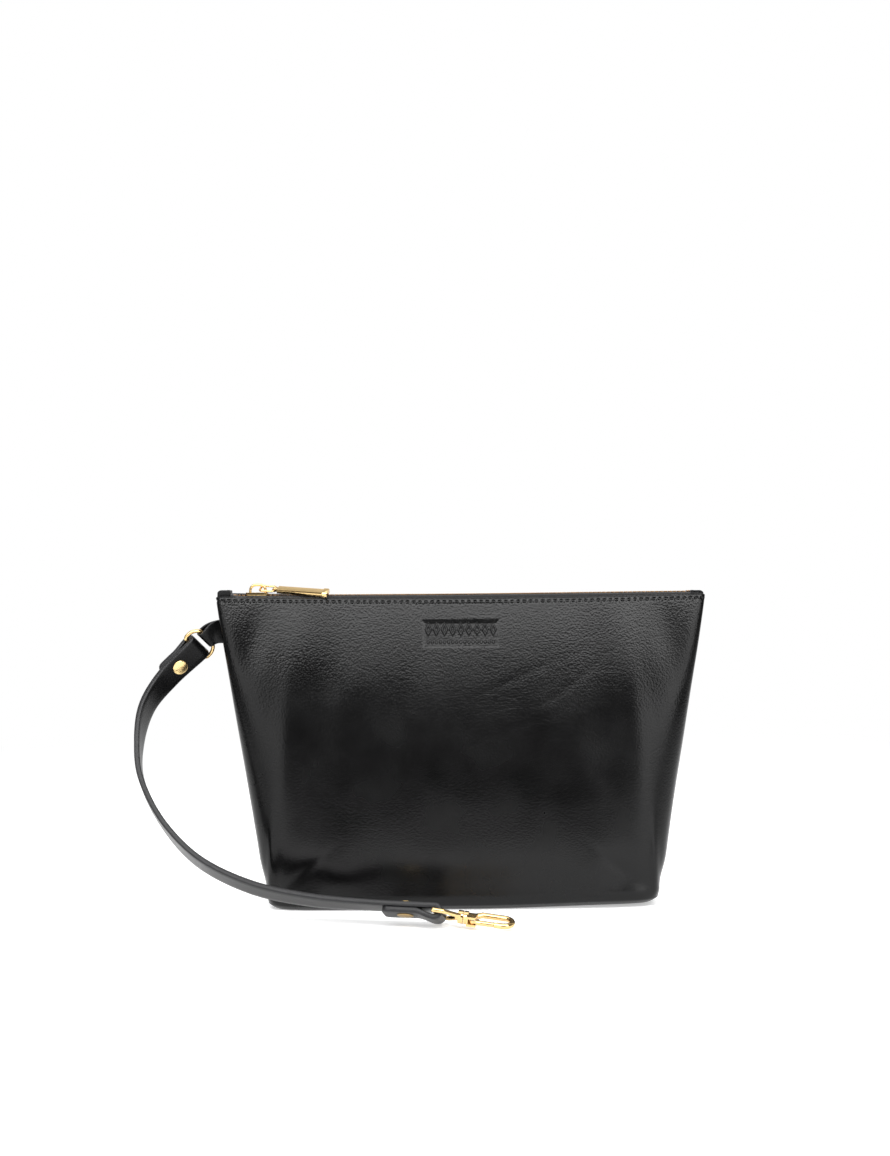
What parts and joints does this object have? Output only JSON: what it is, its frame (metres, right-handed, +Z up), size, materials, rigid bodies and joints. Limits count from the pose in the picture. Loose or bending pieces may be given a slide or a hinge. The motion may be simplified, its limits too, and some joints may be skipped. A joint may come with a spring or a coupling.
{
  "type": "makeup bag",
  "caption": "Black leather zip pouch with a boxed base, a brass zipper along the top and a leather wrist strap with a swivel clasp.",
  "frame": {"origin": "centre of the base, on the surface the bag stands on", "axes": "+Z up, front faces -Y, +X to the right seen from the front; the strap hangs on the -X side"},
  "size_m": [0.3228, 0.1145, 0.1832],
  "materials": {
    "bag_leather": "smooth black leather, semi-gloss, fine grain",
    "strap_leather": "smooth black leather with grey painted edges",
    "lining": "black woven lining",
    "tape": "black woven zipper tape",
    "thread": "black waxed thread",
    "zip_brass": "antique brass zipper metal",
    "gold": "polished light gold plating",
    "dull_gold": "worn matt gold plating",
    "spring_steel": "spring wire"
  },
  "bodies": {
    "bag": {"front_panel": "bag_leather", "back_panel": "bag_leather", "lining_front": "lining", "lining_back": "lining", "zipper_tape_front": "tape", "zipper_tape_back": "tape", "zipper_teeth_front": "zip_brass", "zipper_teeth_back": "zip_brass", "zipper_top_stops": "zip_brass", "zipper_bottom_stop": "zip_brass", "end_tab_left": "bag_leather", "end_tab_right": "bag_leather", "side_tab": "strap_leather", "top_stitching_front": "thread", "top_stitching_back": "thread", "end_tab_stitching": "thread", "side_seam_thread": "thread", "base_seam_thread": "thread"},
    "slider": {"slider_body": "gold", "slider_bail": "gold"},
    "pull_link": {"pull_link": "gold"},
    "pull_bar": {"pull_bar": "gold"},
    "ring": {"d_ring": "gold"},
    "strap": {"strap": "strap_leather", "rivet_cap_ring_end": "gold", "rivet_post_ring_end": "gold", "rivet_cap_clasp_end": "gold", "rivet_post_clasp_end": "dull_gold"},
    "clasp_eye": {"clasp_eye": "gold"},
    "clasp_hook": {"clasp_hook": "gold", "swivel_post": "gold", "gate_pin": "gold", "gate_spring": "spring_steel"},
    "clasp_gate": {"clasp_gate": "gold"}
  },
  "joints": [
    {"name": "zip_travel", "type": "slide", "parent": "bag", "child": "slider", "axis": [1, 0, 0], "range_m": [-0.005, 0.237], "deforming": ["zipper_teeth_front", "zipper_teeth_back"]},
    {"name": "pull_link_swing", "type": "hinge", "parent": "slider", "child": "pull_link", "pos_m": [-0.1147, 0, 0.1806], "axis": [-0.2219, -0.84, -0.4952], "range_deg": [0, 90]},
    {"name": "pull_bar_swing", "type": "hinge", "parent": "pull_link", "child": "pull_bar", "pos_m": [-0.10642, -0.0018, 0.17994], "axis": [-0.2219, -0.84, -0.4952], "range_deg": [0, 70]},
    {"name": "ring_swing", "type": "hinge", "parent": "bag", "child": "ring", "pos_m": [-0.1456, -0.00079, 0.15302], "axis": [-0.5351, -0.557, 0.6352], "range_deg": [0, 8]},
    {"name": "strap_swing", "type": "hinge", "parent": "ring", "child": "strap", "pos_m": [-0.15255, -0.00165, 0.14641], "axis": [-0.5351, -0.557, 0.6352], "range_deg": [0, 14]},
    {"name": "clasp_tilt", "type": "hinge", "parent": "strap", "child": "clasp_eye", "pos_m": [-0.01424, -0.07214, 0.00769], "axis": [-0.1488, -0.9073, 0.3933], "range_deg": [0, 90]},
    {"name": "clasp_swivel", "type": "hinge", "parent": "clasp_eye", "child": "clasp_hook", "pos_m": [0.00065, -0.07527, 0.00608], "axis": [0.9731, -0.2051, -0.1049], "continuous": true},
    {"name": "gate_open", "type": "hinge", "parent": "clasp_hook", "child": "clasp_gate", "pos_m": [0.00469, -0.07892, 0.00497], "axis": [0.0547, -0.2368, 0.97], "range_deg": [0, 20], "stiffness_Nm_per_rad": 0.02, "springref_deg": -11.46}
  ]
}
